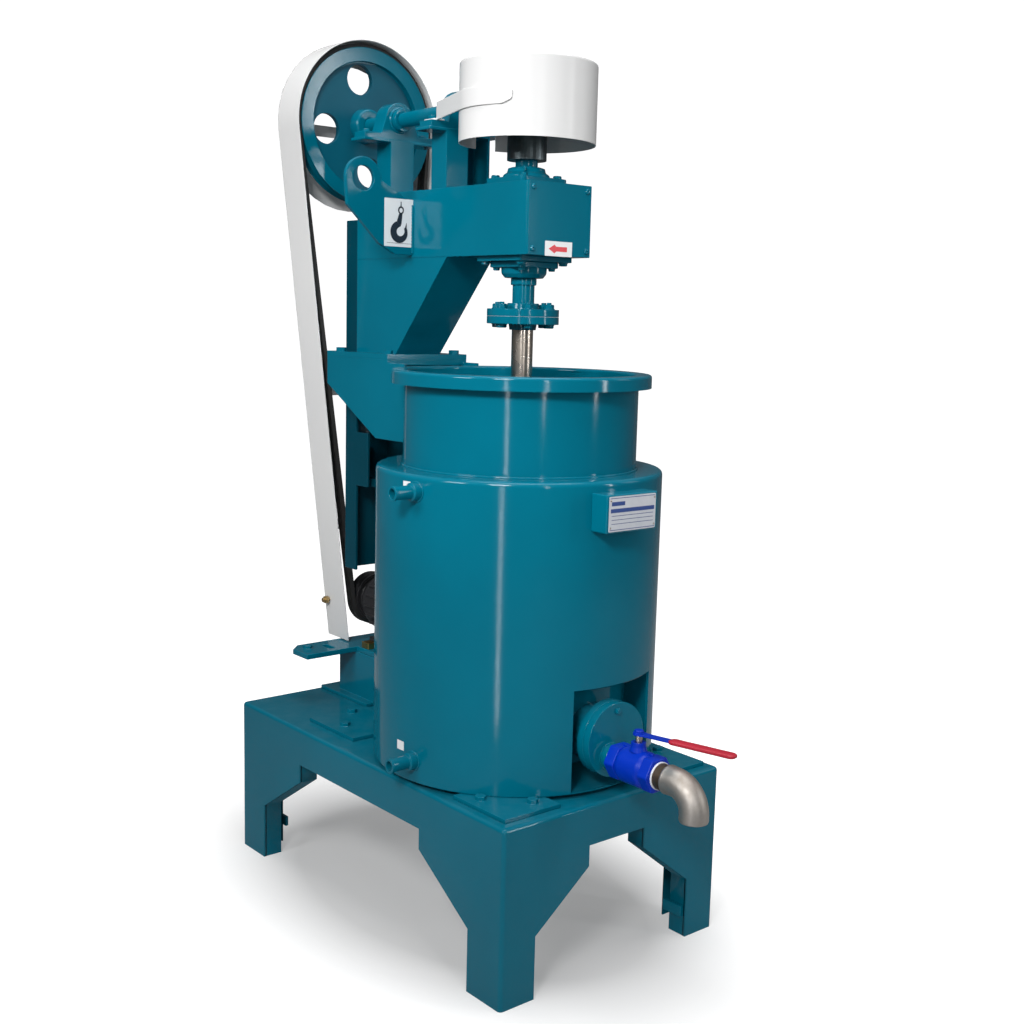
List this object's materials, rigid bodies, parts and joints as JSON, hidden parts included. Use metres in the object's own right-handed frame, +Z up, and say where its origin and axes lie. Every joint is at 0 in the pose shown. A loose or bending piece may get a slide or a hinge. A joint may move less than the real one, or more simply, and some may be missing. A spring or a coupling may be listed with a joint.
{
  "type": "attritor mill",
  "caption": "Jacketed stirred grinding tank on a folded-plate table, with an overhead bevel-geared spindle driven by guarded belts from a motor behind it, and a ball valve drain.",
  "frame": {"origin": "on the floor, under the middle of the part's bounding box", "axes": "+Z up, -Y towards the discharge valve, +X to the right of someone who faces the valve"},
  "size_m": [0.762, 1.4714, 2.2439],
  "materials": {
    "teal_paint": "gloss enamel",
    "white_paint": "gloss enamel",
    "blue_paint": "gloss enamel on cast iron",
    "red_grip": "dipped plastic",
    "stainless": "dull stainless",
    "black_steel": "dark pipe steel",
    "belt_rubber": "matte",
    "black_paint": "satin",
    "zinc_yellow": "yellow passivated zinc",
    "gear_steel": "machined teeth"
  },
  "bodies": {
    "root": {"table_frame": "teal_paint", "tank_lug_front_left": "teal_paint", "tank_lug_front_right": "teal_paint", "tank_lug_rear_left": "teal_paint", "tank_lug_rear_right": "teal_paint", "cooling_jacket": "teal_paint", "grinding_vessel": "teal_paint", "outlet_flange": "teal_paint", "outlet_cover": "teal_paint", "drain_nipple": "teal_paint", "valve_body": "blue_paint", "tail_nipple": "black_steel", "outlet_elbow": "stainless", "water_nozzle_upper": "teal_paint", "water_nozzle_lower": "teal_paint", "name_plate_box": "teal_paint", "tank_bracket": "teal_paint", "head_column": "teal_paint", "head_arm": "teal_paint", "arm_end_cover": "teal_paint", "lifting_ear_left": "teal_paint", "lifting_ear_right": "teal_paint", "guard_post": "teal_paint", "rear_pedestal": "teal_paint", "front_pedestal": "teal_paint", "rear_pillow_block": "teal_paint", "front_pillow_block": "teal_paint", "gear_guard": "white_paint", "gear_guard_strap": "white_paint", "upper_spindle_bearing": "teal_paint", "lower_spindle_bearing": "teal_paint", "v_belt_front": "belt_rubber", "v_belt_rear": "belt_rubber", "belt_guard_band": "white_paint", "belt_guard_back": "white_paint", "motor_body": "black_paint", "fan_cowl": "black_paint", "terminal_box": "black_paint", "motor_rail_front": "zinc_yellow", "motor_rail_rear": "zinc_yellow", "motor_plate": "teal_paint", "motor_stand": "teal_paint"},
    "spindle_and_stirrer": {"spindle": "stainless", "bevel_gear": "gear_steel", "upper_coupling": "teal_paint", "stirrer_shaft": "stainless", "stirrer_arm_1": "stainless", "stirrer_arm_2": "stainless", "stirrer_arm_3": "stainless", "stirrer_arm_4": "stainless", "stirrer_arm_5": "stainless"},
    "drive_line": {"drive_shaft": "stainless", "bevel_pinion": "gear_steel", "drive_pulley": "teal_paint"},
    "motor_rotor": {"motor_shaft": "stainless", "motor_pulley": "black_paint", "motor_fan": "black_paint"},
    "valve_handle": {"valve_ball": "stainless", "valve_lever": "blue_paint", "lever_grip": "red_grip"}
  },
  "joints": [
    {"name": "spindle_spin", "type": "hinge", "parent": "root", "child": "spindle_and_stirrer", "pos_m": [0.031, -0.03934, 1.5], "axis": [0, 0, 1], "continuous": true},
    {"name": "drive_shaft_spin", "type": "hinge", "parent": "root", "child": "drive_line", "pos_m": [0.031, 0.4, 2.018], "axis": [0, 1, 0], "continuous": true},
    {"name": "motor_spin", "type": "hinge", "parent": "root", "child": "motor_rotor", "pos_m": [0.076, 0.5, 0.69], "axis": [0, 1, 0], "continuous": true},
    {"name": "valve_turn", "type": "hinge", "parent": "root", "child": "valve_handle", "pos_m": [0.011, -0.50134, 0.594], "axis": [0, 0, 1], "range_deg": [-14, 76]}
  ],
  "couplings": [
    {"joint": "drive_shaft_spin", "follows": "spindle_spin", "ratio": 2.6667},
    {"joint": "motor_spin", "follows": "spindle_spin", "ratio": 7.9238}
  ]
}
